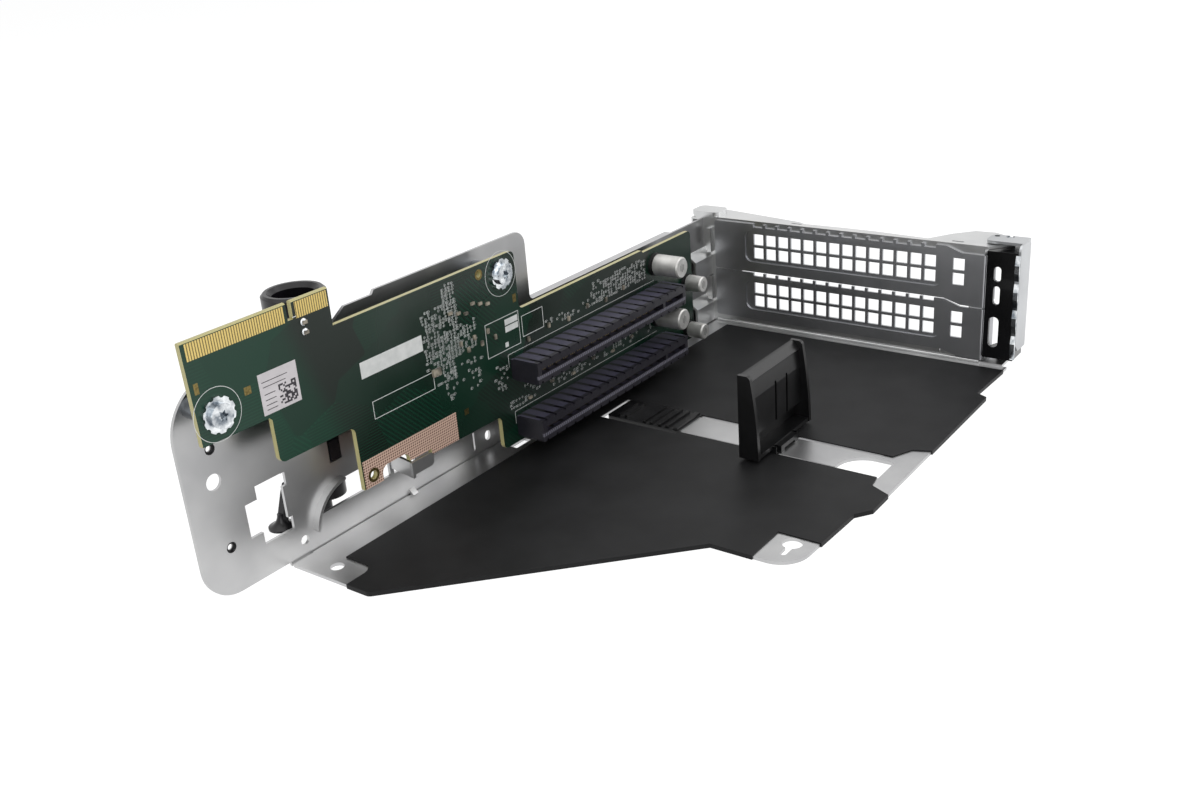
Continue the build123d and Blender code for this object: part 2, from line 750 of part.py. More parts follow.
# Filler brackets: pressed steel, vented in two rows, with their outer ends stepped down and bent back
def filler_bracket(level):
    """One filler bracket whose body's lower edge is at height level."""
    top = level + bracket_height
    with BuildPart() as bracket:
        with BuildSketch(Plane.YZ) as blank:
            with BuildLine():
                Polyline(
                    (bracket_left, level),
                    (bracket_left, top),
                    (-dip_start, top),
                    (-dip_end, top - bracket_step - 0.3),
                    (-bracket_length - bracket_sheet, top - bracket_step - 0.3),
                    (-bracket_length - bracket_sheet, level - bracket_step),
                    (-dip_end, level - bracket_step),
                    (-dip_start, level),
                    close=True,
                )
            make_face()
            fillet(blank.vertices().group_by(Axis.X)[-1], radius=1.0)
        extrude(amount=bracket_sheet)
        with BuildSketch(Plane.YZ.offset(bracket_sheet)):
            with Locations((-pan_middle, level + pan_level)):
                RectangleRounded(pan_length, pan_height, pan_corner)
        extrude(amount=pan_depth)
        with BuildSketch(Plane.YZ):
            with Locations((-pan_middle, level + pan_level)):
                RectangleRounded(pan_length, pan_height, pan_corner)
        extrude(amount=pan_depth, mode=Mode.SUBTRACT)
        with BuildSketch(Plane.YZ):
            for column in [*range(vent_columns), vent_columns + 1]:
                for row_z in (level + vent_row_z, level + vent_row_z + vent_pitch_z):
                    with Locations((-vent_start - column * vent_pitch, row_z)):
                        Rectangle(vent_width, vent_height)
            for column in range(vent_columns):
                with Locations((-vent_start - column * vent_pitch, top)):
                    Rectangle(vent_width, 2 * tab_notch)
        extrude(amount=bracket_sheet + pan_depth, mode=Mode.SUBTRACT)
        with BuildSketch(Plane.XY.offset(level - bracket_step)):
            with Locations((0, -bracket_length)):
                Rectangle(bracket_tab, bracket_sheet, align=(Align.MIN, Align.MAX))
        extrude(amount=bracket_height - 0.3)
        outer_corner = (0, -bracket_length - bracket_sheet, top)
        fillet(bracket.edges().filter_by(Axis.Z).sort_by_distance(outer_corner)[0], radius=0.7)
    return bracket


lower_filler_bracket = filler_bracket(bracket_levels[0])
save(lower_filler_bracket, "lower_filler_bracket")
upper_filler_bracket = filler_bracket(bracket_levels[1])
save(upper_filler_bracket, "upper_filler_bracket")


# Latch: black door on a vertical pin, with a light end plate and a bumpy spring strip
latch_left = bracket_length + bracket_sheet + 0.4
latch_right = latch_left + latch_width
latch_floor = 2 * sheet
latch_ceiling = flange_z - 0.1
with BuildPart() as bracket_latch:
    with BuildSketch(Plane.YZ.offset(-0.2)):
        with Locations((-latch_left, latch_floor + 2.5)):
            Rectangle(latch_width, latch_ceiling - latch_floor - 2.5, align=(Align.MAX, Align.MIN))
        with Locations((-latch_left - 4.0, 36.6)):
            SlotOverall(5.6, 2.6, rotation=90, mode=Mode.SUBTRACT)
        with Locations((-latch_left - 4.0, 28.6)):
            SlotOverall(7.0, 2.4, rotation=90, mode=Mode.SUBTRACT)
        with Locations((-latch_left - 3.6, 14.6)):
            SlotOverall(11.6, 3.6, rotation=90, mode=Mode.SUBTRACT)
    extrude(amount=cover_panel)
    # top and bottom arms that run back to the pin
    with BuildSketch(Plane.XY.offset(latch_floor + 2.5), Plane.XY.offset(latch_ceiling - cover_panel)):
        with BuildLine():
            Polyline(
                (0.5, -latch_left),
                (0.5, -latch_right),
                (pivot_x - 1.5, -latch_right),
                (pivot_x + 2.4, -pivot_y - 2.4),
                (pivot_x + 2.4, -latch_left - 1.6),
                (pivot_x - 1.0, -latch_left),
                close=True,
            )
        make_face()
    extrude(amount=cover_panel)
    # side wall that carries the end plate
    with BuildSketch(Plane.XY.offset(latch_floor + 2.5)):
        with Locations((0.5, -latch_right)):
            Rectangle(9.0, cover_panel, align=(Align.MIN, Align.MIN))
    extrude(amount=latch_ceiling - latch_floor - 2.5)
    with BuildSketch(Plane.XY.offset(latch_floor)):
        with Locations((pivot_x, -pivot_y)):
            Circle(pivot_radius + 1.2)
    extrude(amount=3.0)
    with BuildSketch(Plane.XY.offset(latch_floor)):
        with Locations((pivot_x, -pivot_y)):
            Circle(pivot_radius + hole_clearance)
    extrude(amount=flange_z, mode=Mode.SUBTRACT)
save(bracket_latch, "bracket_latch")

with BuildPart() as latch_cover:
    with BuildSketch(Plane.XZ.offset(latch_right)) as end_plate:
        with BuildLine():
            Polyline(
                (0.0, 10.5),
                (3.0, 7.5),
                (10.5, 7.5),
                (10.5, flange_z + 2 * sheet + 0.5),
                (0.0, flange_z + 2 * sheet + 0.5),
                close=True,
            )
        make_face()
        fillet(end_plate.vertices().group_by(Axis.Y)[-1], radius=2.0)
    extrude(amount=plate_sheet)
    with BuildSketch(Plane.XY.offset(flange_z + sheet + pin_head)) as top_plate:
        with Locations((pivot_x - 2.8, -latch_right)):
            Rectangle(8.4, latch_width + 2.6, align=(Align.CENTER, Align.MIN))
        fillet(top_plate.vertices().group_by(Axis.Y)[-1], radius=2.5)
        with Locations((pivot_x, -pivot_y)):
            Circle(pivot_radius + hole_clearance, mode=Mode.SUBTRACT)
        with Locations((pivot_x - 0.4, -pivot_y + 4.6)):
            Circle(1.0, mode=Mode.SUBTRACT)
    extrude(amount=sheet)
save(latch_cover, "latch_cover")

with BuildPart() as latch_pin:
    with BuildSketch(Plane.XY.offset(sheet)):
        with Locations((pivot_x, -pivot_y)):
            Circle(pivot_radius)
    extrude(amount=flange_z + pin_head + 0.6)
    with BuildSketch(Plane.XY.offset(flange_z + sheet)):
        with Locations((pivot_x, -pivot_y)):
            Circle(pivot_radius + 0.8)
    extrude(amount=pin_head)
save(latch_pin, "latch_pin")

with BuildPart() as emi_spring:
    with BuildSketch(Plane.XZ.offset(latch_right - spring_width / 2)):
        with BuildLine():
            wave = [(-0.2, latch_floor + 3.0)]
            for index in range(spring_waves):
                start_z = latch_floor + 3.0 + index * spring_pitch
                wave.append((-0.5, start_z + 0.5))
                wave.append((-1.2, start_z + 0.35 * spring_pitch))
                wave.append((-1.2, start_z + 0.65 * spring_pitch))
                wave.append((-0.5, start_z + spring_pitch - 0.5))
            wave.append((-0.2, latch_floor + 3.0 + spring_waves * spring_pitch))
            Polyline(*wave, close=True)
        make_face()
    extrude(amount=spring_width)
save(emi_spring, "emi_spring")


# Card holder: slides in the cover's two slits and props a card's free edge
holder_left = -holder_x
with BuildPart() as card_holder:
    # the panel between the ends: rounded top, sloped shoulder, face, and a ledge under a deep recess
    with BuildSketch(Plane.YZ.offset(holder_left + holder_end / 2)):
        with BuildLine():
            Polyline(
                (-holder_y, holder_base),
                (-holder_y, holder_top - 0.4),
                (-holder_y - 0.5, holder_top),
                (-holder_y - 1.3, holder_top - 0.2),
                (-holder_y - holder_top_depth + 0.9, holder_top - 2.8),
                (-holder_y - holder_top_depth + 1.5, holder_top - 3.4),
                (-holder_y - holder_face_depth, holder_top - 9.0),
                (-holder_y - holder_face_depth, holder_base + 6.5),
                (-holder_y - holder_skin, holder_base + 5.5),
                (-holder_y - holder_skin, holder_base + holder_ledge),
                (-holder_y - holder_depth + 0.3, holder_base + holder_ledge),
                (-holder_y - holder_depth + 0.3, holder_base),
                close=True,
            )
        make_face()
    extrude(amount=holder_width - holder_end)
    # two flutes down the face
    with BuildSketch(on_face(holder_y + holder_skin)) as flute_sketch:
        for flute_x in (flute_middle - flute_spacing / 2, flute_middle + flute_spacing / 2):
            with Locations((holder_left + flute_x, holder_base + 4.0)):
                Rectangle(flute_width, holder_top - holder_base - 12.0, align=(Align.CENTER, Align.MIN))
        fillet(flute_sketch.vertices().group_by(Axis.Y)[-1], radius=0.5)
    extrude(amount=holder_depth, mode=Mode.SUBTRACT)
    # bowed end plates, deeper at the foot
    for end_x in (holder_left, holder_left + holder_width - holder_end):
        with BuildSketch(Plane.YZ.offset(end_x)) as end_sketch:
            with BuildLine():
                Polyline(
                    (-holder_y - holder_depth, holder_base),
                    (-holder_y, holder_base),
                    (-holder_y, holder_top),
                    (-holder_y - holder_top_depth, holder_top),
                )
                ThreePointArc(
                    (-holder_y - holder_top_depth, holder_top),
                    (-holder_y - holder_depth + 0.9, holder_base + 0.55 * (holder_top - holder_base)),
                    (-holder_y - holder_depth, holder_base),
                )
            make_face()
            top_corner = (-holder_y - holder_top_depth, holder_top)
            fillet(end_sketch.vertices().sort_by_distance(top_corner)[0], radius=1.6)
        extrude(amount=holder_end)
    # foot on the bare strip, with tongues that reach into the slits
    with BuildSketch(on_face(holder_y - 2.0)):
        with BuildLine():
            Polyline(
                (-channel_x + slit_width + 0.8, sheet),
                (-channel_x + slit_width + 0.8, holder_base + 1.0),
                (-channel_x + channel_width - slit_width - 0.8, holder_base + 1.0),
                (-channel_x + channel_width - slit_width - 0.8, sheet),
                close=True,
            )
        make_face()
        with Locations((channel_middle, sheet)):
            Rectangle(7.0, 1.0, align=(Align.CENTER, Align.MIN), mode=Mode.SUBTRACT)
    extrude(amount=holder_depth + 4.0)
    with BuildSketch(on_face(holder_y - 1.0)):
        for slit_x in (-channel_x + slit_width / 2, -channel_x + channel_width - slit_width / 2):
            with Locations((slit_x, tongue_bottom)):
                web_height = holder_base - tongue_bottom + 1.0
                Rectangle(slit_width - 0.6, web_height, align=(Align.CENTER, Align.MIN))
    extrude(amount=holder_depth + 2.0)
save(card_holder, "card_holder")

# Holder catch: flat ridged plate that fills the window at the wall end of the bare strip
with BuildPart() as holder_catch:
    with BuildSketch(Plane.XY.offset(tongue_bottom)) as catch_sketch:
        with Locations((-channel_x + channel_width, window_end)):
            Rectangle(channel_width, window_length - 1.5, align=(Align.MAX, Align.MIN))
        fillet(catch_sketch.vertices().group_by(Axis.Y)[-1], radius=1.5)
    extrude(amount=catch_thickness)
    with BuildSketch(Plane.XY.offset(tongue_bottom + catch_thickness)):
        for ridge_y in (-14.5, -17.4):
            with Locations((channel_middle - 0.5, ridge_y)):
                Rectangle(channel_width - 4.0, 0.7)
        for ridge_y in (-25.5, -28.5, -32.0, -35.0):
            with Locations((channel_middle, ridge_y)):
                Rectangle(channel_width - 1.5, 1.4)
        with Locations((channel_middle, -38.6)):
            Rectangle(channel_width - 0.8, 1.8)
    extrude(amount=ridge_height)
save(holder_catch, "holder_catch")


# Guide sleeve: one black moulding behind the side wall, hooked into the square window
sleeve_y = wall_back + sleeve_gap + sleeve_flare
with BuildPart() as guide_sleeve:
    with BuildSketch(Plane.XZ.offset(-sleeve_y)):
        with BuildLine():
            Polyline(
                (-sleeve_x, sleeve_bottom),
                (-sleeve_x + sleeve_neck, sleeve_bottom),
                (-sleeve_x + sleeve_neck, sleeve_bottom + 9.0),
                (-sleeve_x + sleeve_radius, sleeve_bottom + 20.0),
                (-sleeve_x + sleeve_radius, sleeve_top - 7.5),
                (-sleeve_x + sleeve_flare, sleeve_top - 5.0),
                (-sleeve_x + sleeve_flare, sleeve_top - 0.8),
                (-sleeve_x + sleeve_flare - 0.8, sleeve_top),
                (-sleeve_x + bore_radius + 1.2, sleeve_top),
                (-sleeve_x + bore_radius, sleeve_top - 1.4),
                (-sleeve_x + bore_radius, sleeve_top - bore_length),
                (-sleeve_x, sleeve_top - bore_length),
                close=True,
            )
        make_face()
    revolve(axis=Axis((-sleeve_x, sleeve_y, 0), (0, 0, 1)))
    # web to the wall and the hook through its square window
    with BuildSketch(Plane.XY.offset(sleeve_bottom + 14.0)):
        with Locations((-sleeve_x - 3.6, wall_back)):
            Rectangle(9.0, sleeve_gap + 3.8, align=(Align.CENTER, Align.MIN))
    extrude(amount=20.0)
    with BuildSketch(Plane.XY.offset(25.2)):
        with Locations((-sleeve_x - 4.3, wall_back + 0.5)):
            Rectangle(3.8, sheet + 0.9, align=(Align.CENTER, Align.MAX))
    extrude(amount=6.0)
    # spigot under the sleeve
    with BuildSketch(Plane.XY.offset(spigot_bottom)):
        with Locations((-sleeve_x - 2.4, sleeve_y)):
            Circle(2.4)
    extrude(amount=sleeve_bottom - spigot_bottom)
    # arm, the stem that leans down from its end, and the bell foot
    foot_y = sleeve_y - 3.4
    with BuildSketch(Plane.XY.offset(arm_z)):
        with Locations((-arm_reach, foot_y)):
            Rectangle(arm_reach - sleeve_x, stem_width, align=(Align.MIN, Align.CENTER))
    extrude(amount=arm_height)
    with BuildSketch(Plane.XZ.offset(-foot_y - stem_width / 2)):
        with BuildLine():
            Polyline(
                (-foot_x - stem_width / 2, foot_bottom + 0.6),
                (-foot_x + stem_width / 2, foot_bottom + 0.6),
                (-arm_reach + stem_width / 2, arm_z + 0.5),
                (-arm_reach, arm_z + arm_height),
                (-arm_reach - stem_width / 2, arm_z + 0.5),
                close=True,
            )
        make_face()
    extrude(amount=stem_width)
    with BuildSketch(Plane.XZ.offset(-foot_y)):
        with BuildLine():
            Polyline(
                (-foot_x, foot_bottom + foot_height),
                (-foot_x, foot_bottom),
                (-foot_x + foot_radius, foot_bottom),
                (-foot_x + foot_radius, foot_bottom + 0.6),
            )
            ThreePointArc(
                (-foot_x + foot_radius, foot_bottom + 0.6),
                (-foot_x + foot_radius / 2, foot_bottom + 1.7),
                (-foot_x + 0.9, foot_bottom + foot_height),
            )
            Line((-foot_x + 0.9, foot_bottom + foot_height), (-foot_x, foot_bottom + foot_height))
        make_face()
    revolve(axis=Axis((-foot_x, foot_y, 0), (0, 0, 1)))
save(guide_sleeve, "guide_sleeve")


# Label and small surface-mount parts on the board
with BuildPart() as board_label:
    with BuildSketch(inside):
        with Locations((-229.4, 58.6)):
            Rectangle(12.8, 11.6)
    extrude(amount=label_thickness)
save(board_label, "board_label")

# each row gives a part's place x, z, its width, height and how far it stands off the board
small_parts = [
    (-218.0, board_tab_height - 6.8, 1.6, 1.0, 0.8),
    (-218.0, board_tab_height - 9.6, 1.6, 1.0, 0.8),
    (-172.0, 42.0, 3.4, 2.2, 0.9),
]
for step in range(6):
    small_parts.append((-163.0 + 3.4 * step, 58.0 - 1.1 * (step % 3), 1.6, 0.9, 0.6))
    small_parts.append((-160.0 + 3.2 * step, 47.0 - 3.0 * (step % 2), 1.0, 1.6, 0.6))
    small_parts.append((-130.0 + 12.0 * step, 17.5 + 1.5 * (step % 2), 1.6, 0.9, 0.6))
    small_parts.append((-128.0 + 11.0 * step, 37.8 + 1.2 * (step % 2), 1.0, 1.6, 0.6))
with BuildPart() as surface_mount_parts:
    for stand in sorted({part[4] for part in small_parts}):
        with BuildSketch(inside):
            for place_x, place_z, part_width, part_height, part_stand in small_parts:
                if part_stand == stand:
                    with Locations((place_x, place_z)):
                        Rectangle(part_width, part_height)
        extrude(amount=stand)
save(surface_mount_parts, "surface_mount_parts")
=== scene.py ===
import math

import bpy
import numpy as np
from mathutils import Matrix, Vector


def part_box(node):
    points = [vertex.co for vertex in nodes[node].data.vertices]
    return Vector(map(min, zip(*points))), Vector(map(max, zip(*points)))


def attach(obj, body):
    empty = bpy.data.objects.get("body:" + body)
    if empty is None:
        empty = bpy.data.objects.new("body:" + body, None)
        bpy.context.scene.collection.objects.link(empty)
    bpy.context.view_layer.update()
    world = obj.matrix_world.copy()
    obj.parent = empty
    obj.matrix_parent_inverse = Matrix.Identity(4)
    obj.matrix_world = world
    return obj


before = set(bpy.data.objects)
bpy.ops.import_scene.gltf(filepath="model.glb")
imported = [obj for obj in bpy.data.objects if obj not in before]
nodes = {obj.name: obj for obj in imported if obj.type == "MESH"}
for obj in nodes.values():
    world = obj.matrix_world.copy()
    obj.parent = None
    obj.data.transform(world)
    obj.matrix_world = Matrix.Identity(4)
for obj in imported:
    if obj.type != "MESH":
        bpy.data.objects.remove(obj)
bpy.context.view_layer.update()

# Cage sheet and rear wall
# Zinc-plated cold-rolled steel, laser cut and folded: the flat cover, the upright side wall and the
# The plating is satin, with a fine rolled grain that blurs what it reflects. The wall behind the brackets is
# painted lighter, as painted light.


def linear(colour):
    """Turns an sRGB hex colour into linear red, green, blue and alpha."""
    channels = [int(colour[i:i + 2], 16) / 255 for i in (1, 3, 5)]
    return [c / 12.92 if c <= 0.04045 else ((c + 0.055) / 1.055) ** 2.4 for c in channels] + [1.0]


def add_node(material, kind, settings=None, links=None):
    """Adds a shader node to a material or a world, sets its properties and sockets by name, and links
    outputs into it."""
    node = material.node_tree.nodes.new(kind)
    for name, value in (settings or {}).items():
        if isinstance(name, int) or name in node.inputs:
            node.inputs[name].default_value = value
        else:
            setattr(node, name, value)
    for name, output in (links or {}).items():
        material.node_tree.links.new(output, node.inputs[name])
    return node


def new_material(name):
    """An empty node material with its output node."""
    material = bpy.data.materials.new(name)
    material.use_nodes = True
    material.node_tree.nodes.clear()
    output = material.node_tree.nodes.new("ShaderNodeOutputMaterial")
    return material, output


def dress(material, *names):
    """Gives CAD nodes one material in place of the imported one."""
    for name in names:
        nodes[name].data.materials.clear()
        nodes[name].data.materials.append(material)


def mottled(material, dark, light, size_mm):
    """A colour that drifts between two close shades over patches of size_mm, as no real finish is even."""
    place = add_node(material, "ShaderNodeTexCoord").outputs["Object"]
    patches = add_node(
        material, "ShaderNodeTexNoise", {"Scale": 1000 / size_mm, "Detail": 3.0}, {"Vector": place}
    ).outputs["Fac"]
    shades = add_node(material, "ShaderNodeValToRGB", {}, {"Fac": patches})
    shades.color_ramp.elements[0].position = 0.35
    shades.color_ramp.elements[0].color = linear(dark)
    shades.color_ramp.elements[1].position = 0.65
    shades.color_ramp.elements[1].color = linear(light)
    return shades.outputs["Color"]


def finish(name, dark, light, size_mm, settings):
    """A plated, moulded or painted finish: mottled colour over one shader with its own settings."""
    material, output = new_material(name)
    shade = mottled(material, dark, light, size_mm)
    shader = add_node(material, "ShaderNodeBsdfPrincipled", settings, {"Base Color": shade})
    material.node_tree.links.new(shader.outputs[0], output.inputs["Surface"])
    return material


def plated_steel(name, dark, light, roughness, grain_mm):
    """Satin plated sheet: its roughness follows patches of crystal grain, and the grain stands up as a
    faint rolled bump, so a reflection looks brushed and cloudy."""
    cloud_mm = 30
    shade_mm = 25
    roughness_spread = 0.03
    material, output = new_material(name)
    place = add_node(material, "ShaderNodeTexCoord").outputs["Object"]
    grain = add_node(
        material, "ShaderNodeTexNoise", {"Scale": 1000 / grain_mm, "Detail": 3.0}, {"Vector": place}
    ).outputs["Fac"]
    clouds = add_node(
        material, "ShaderNodeTexNoise", {"Scale": 1000 / cloud_mm, "Detail": 2.0}, {"Vector": place}
    ).outputs["Fac"]
    both = add_node(material, "ShaderNodeMath", {"operation": "ADD"}, {0: grain, 1: clouds}).outputs[0]
    rough = add_node(
        material,
        "ShaderNodeMapRange",
        {
            "From Min": 0.6,
            "From Max": 1.4,
            "To Min": roughness - roughness_spread,
            "To Max": roughness + roughness_spread,
        },
        {"Value": both},
    ).outputs[0]
    bump = add_node(
        material, "ShaderNodeBump", {"Strength": 0.02, "Distance": 0.00002}, {"Height": grain}
    ).outputs[0]
    shader = add_node(
        material,
        "ShaderNodeBsdfPrincipled",
        {"Metallic": 1.0},
        {"Base Color": mottled(material, dark, light, shade_mm), "Roughness": rough, "Normal": bump},
    )
    material.node_tree.links.new(shader.outputs[0], output.inputs["Surface"])
    return material


cage_steel = plated_steel("zinc plated sheet steel", "#B2B2B3", "#C4C4C4", 0.34, 1.2)
dress(cage_steel, "cage_sheet")
# painted light: the rear wall takes the same plating in a lighter colour, with a coarser grain
lighter_painted_wall_steel = plated_steel("zinc plated rear wall steel painted lighter", "#C6C7C7", "#D8D8D8", 0.31, 2.5)
dress(lighter_painted_wall_steel, "rear_wall")

# Insulating film on the cover
# Black polypropylene film, rolled with a fine matt emboss and glued down, so it lies flat and
# takes only a faint wide sheen.
film_black, film_output = new_material("black polypropylene film")
film_place = add_node(film_black, "ShaderNodeTexCoord").outputs["Object"]
emboss_mm = 0.5
emboss = add_node(
    film_black, "ShaderNodeTexNoise", {"Scale": 1000 / emboss_mm, "Detail": 2.0}, {"Vector": film_place}
).outputs["Fac"]
film_bump = add_node(
    film_black, "ShaderNodeBump", {"Strength": 0.12, "Distance": 0.00008}, {"Height": emboss}
).outputs[0]
film_shader = add_node(
    film_black,
    "ShaderNodeBsdfPrincipled",
    {"Roughness": 0.5, "IOR": 1.49, "Specular IOR Level": 0.22},
    {"Base Color": mottled(film_black, "#0C0C0D", "#161617", 14), "Normal": film_bump},
)
film_black.node_tree.links.new(film_shader.outputs[0], film_output.inputs["Surface"])
dress(film_black, "insulating_film")

# Riser board
# Green solder mask over copper and glass-fibre laminate, 1.6 mm thick. The mask is sprayed and baked
# glossy. Buried pours show as darker patches and traces as fine lines, and the routed edges are bare straw.
mm = 0.001
board_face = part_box("riser_board")[0][1]
solder_mask, board_output = new_material("green solder mask on laminate")
board_coords = add_node(solder_mask, "ShaderNodeTexCoord")
board_xyz = add_node(solder_mask, "ShaderNodeSeparateXYZ", {}, {"Vector": board_coords.outputs["Object"]})
pour_mm = 26.0
pour_turn = math.radians(20)
pour_place = add_node(
    solder_mask,
    "ShaderNodeMapping",
    {"Rotation": (0.0, pour_turn, 0.0)},
    {"Vector": board_coords.outputs["Object"]},
).outputs["Vector"]
pours = add_node(
    solder_mask,
    "ShaderNodeTexVoronoi",
    {"Scale": 1000 / pour_mm, "distance": "CHEBYCHEV"},
    {"Vector": pour_place},
)
pour_numbers = add_node(solder_mask, "ShaderNodeSeparateColor", {}, {"Color": pours.outputs["Color"]})
# dark ground copper starts along a slant to the right of the label, and left of it the mask stays green.
# Each pour adds its own share of green to the least that its side has
slant_lean = 0.35
ground_from = -203.0 * mm
ground_whole = -194.0 * mm
green_left = 0.6
green_right = 0.12
green_range = 0.52
slant = add_node(
    solder_mask,
    "ShaderNodeMath",
    {"operation": "MULTIPLY_ADD", 1: slant_lean},
    {0: board_xyz.outputs["Z"], 2: board_xyz.outputs["X"]},
).outputs[0]
least_green = add_node(
    solder_mask,
    "ShaderNodeMapRange",
    {
        "interpolation_type": "SMOOTHSTEP",
        "From Min": ground_from,
        "From Max": ground_whole,
        "To Min": green_left,
        "To Max": green_right,
    },
    {"Value": slant},
).outputs[0]
pour_green = add_node(
    solder_mask,
    "ShaderNodeMath",
    {"operation": "MULTIPLY_ADD", 1: green_range},
    {0: pour_numbers.outputs["Red"], 2: least_green},
).outputs[0]
mask_tone = add_node(solder_mask, "ShaderNodeValToRGB", {}, {"Fac": pour_green})
mask_tone.color_ramp.elements[0].position = 0.15
mask_tone.color_ramp.elements[0].color = linear("#0D1912")
mask_tone.color_ramp.elements[1].position = 0.85
mask_tone.color_ramp.elements[1].color = linear("#043222")

# real traces lie about 0.3 mm apart, and these are drawn coarser so that they show
trace_pitch_mm = 0.9


def trace_waves(direction):
    """Parallel lines at the traces' pitch: a wave texture repeats every pi / 10 over its scale."""
    return add_node(
        solder_mask,
        "ShaderNodeTexWave",
        {"Scale": math.pi / 10 * 1000 / trace_pitch_mm, "bands_direction": direction},
        {"Vector": board_coords.outputs["Object"]},
    ).outputs["Fac"]


slanted_here = add_node(
    solder_mask,
    "ShaderNodeMath",
    {"operation": "GREATER_THAN", 1: 0.55},
    {0: pour_numbers.outputs["Green"]},
).outputs[0]
traces = add_node(
    solder_mask,
    "ShaderNodeMix",
    {"data_type": "FLOAT"},
    {0: slanted_here, 2: trace_waves("Z"), 3: trace_waves("DIAGONAL")},
).outputs[0]
trace_lines = add_node(
    solder_mask, "ShaderNodeMapRange", {"From Min": 0.45, "From Max": 0.8}, {"Value": traces}
).outputs[0]
trace_shows = add_node(
    solder_mask,
    "ShaderNodeMapRange",
    {"From Min": 0.4, "From Max": 0.8, "To Max": 0.22},
    {"Value": pour_numbers.outputs["Blue"]},
).outputs[0]


def in_band(material, value, low, high):
    """One where value lies between low and high, else zero."""
    middle = (low + high) / 2
    return add_node(
        material,
        "ShaderNodeMath",
        {"operation": "COMPARE", 1: middle, 2: (high - low) / 2},
        {0: value},
    ).outputs[0]


def both_of(material, first, second):
    """The product of two masks."""
    return add_node(material, "ShaderNodeMath", {"operation": "MULTIPLY"}, {0: first, 1: second}).outputs[0]


masked = add_node(
    solder_mask,
    "ShaderNodeMix",
    {"data_type": "RGBA", 7: linear("#15543C")},
    {0: both_of(solder_mask, trace_lines, trace_shows), 6: mask_tone.outputs["Color"]},
).outputs[2]

# bare copper at the board's foot, pierced by round holes
hatch_left = -206.0 * mm
hatch_right = -165.7 * mm
hatch_foot = 10.0 * mm
hatch_top = 26.2 * mm
hatch_band = both_of(
    solder_mask,
    in_band(solder_mask, board_xyz.outputs["X"], hatch_left, hatch_right),
    in_band(solder_mask, board_xyz.outputs["Z"], hatch_foot, hatch_top),
)
hatch_pitch = 0.85 * mm
hatch_cells = add_node(
    solder_mask,
    "ShaderNodeTexVoronoi",
    {"Scale": 1 / hatch_pitch, "Randomness": 0.0},
    {"Vector": board_coords.outputs["Object"]},
).outputs["Distance"]
hatch_tone = add_node(solder_mask, "ShaderNodeValToRGB", {}, {"Fac": hatch_cells})
hatch_tone.color_ramp.elements[0].position = 0.26
hatch_tone.color_ramp.elements[0].color = linear("#75564A")
hatch_tone.color_ramp.elements[1].position = 0.40
hatch_tone.color_ramp.elements[1].color = linear("#D6B8A6")
with_copper = add_node(
    solder_mask,
    "ShaderNodeMix",
    {"data_type": "RGBA"},
    {0: hatch_band, 6: masked, 7: hatch_tone.outputs["Color"]},
).outputs[2]

# the routed edges, where the face's normal leaves Y, show the laminate
board_side = add_node(solder_mask, "ShaderNodeSeparateXYZ", {}, {"Vector": board_coords.outputs["Normal"]})
flat = add_node(
    solder_mask, "ShaderNodeMath", {"operation": "ABSOLUTE"}, {0: board_side.outputs["Y"]}
).outputs[0]
is_face = add_node(
    solder_mask, "ShaderNodeMath", {"operation": "GREATER_THAN", 1: 0.85}, {0: flat}
).outputs[0]
board_colour = add_node(
    solder_mask, "ShaderNodeMix", {"data_type": "RGBA", 6: linear("#BDB57F")}, {0: is_face, 7: with_copper}
).outputs[2]
mask_flow_mm = 40
mask_flow = add_node(
    solder_mask,
    "ShaderNodeTexNoise",
    {"Scale": 1000 / mask_flow_mm, "Detail": 1.0},
    {"Vector": board_coords.outputs["Object"]},
).outputs["Fac"]
mask_gloss = add_node(
    solder_mask,
    "ShaderNodeMapRange",
    {"From Min": 0.35, "From Max": 0.65, "To Min": 0.2, "To Max": 0.42},
    {"Value": mask_flow},
).outputs[0]
board_shader = add_node(
    solder_mask,
    "ShaderNodeBsdfPrincipled",
    {"IOR": 1.5, "Specular IOR Level": 0.42},
    {"Base Color": board_colour, "Roughness": mask_gloss},
)
solder_mask.node_tree.links.new(board_shader.outputs[0], board_output.inputs["Surface"])
dress(solder_mask, "riser_board")

# Silkscreen on the board
# White epoxy ink screened over the mask: rings round the screws, outlined areas, a solid field and the
# outlines round small parts. Each stroke is a thin raised slab, so that it stays crisp from close by.
ink_height = 0.04 * mm
white_ink = finish("white epoxy silkscreen ink", "#CFD1CF", "#DEDFDD", 3, {"Roughness": 0.55})


def closed_piece(name, points, faces, material, body="cage"):
    """A mesh object at the origin from points in metres and a list of faces, riding on a body."""
    mesh = bpy.data.meshes.new(name)
    mesh.from_pydata(np.asarray(points).reshape(-1, 3).tolist(), [], np.asarray(faces).tolist())
    mesh.materials.append(material)
    piece = bpy.data.objects.new(name, mesh)
    bpy.context.scene.collection.objects.link(piece)
    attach(piece, body)
    return piece


def slabs(name, rows, material, height, face=board_face):
    """Slabs on an upright face that looks along -Y. A row is centre x, centre z, width and height in mm.
    The eight corners are the centre plus or minus half the size, standing 0 or height metres out."""
    rows = np.asarray(rows, float) * mm
    signs = np.array([(-1, -1), (1, -1), (1, 1), (-1, 1)])
    corners = rows[:, None, :2] + signs[None] * rows[:, None, 2:] / 2
    points = np.empty((len(rows), 8, 3))
    points[:, :4, ::2] = corners
    points[:, 4:, ::2] = corners
    points[:, :4, 1] = face
    points[:, 4:, 1] = face - height
    box_faces = np.array(
        [(0, 3, 2, 1), (4, 5, 6, 7), (0, 1, 5, 4), (1, 2, 6, 5), (2, 3, 7, 6), (3, 0, 4, 7)]
    )
    faces = (box_faces[None] + 8 * np.arange(len(rows))[:, None, None]).reshape(-1, 4)
    piece = closed_piece(name, points, faces, material)
    return piece


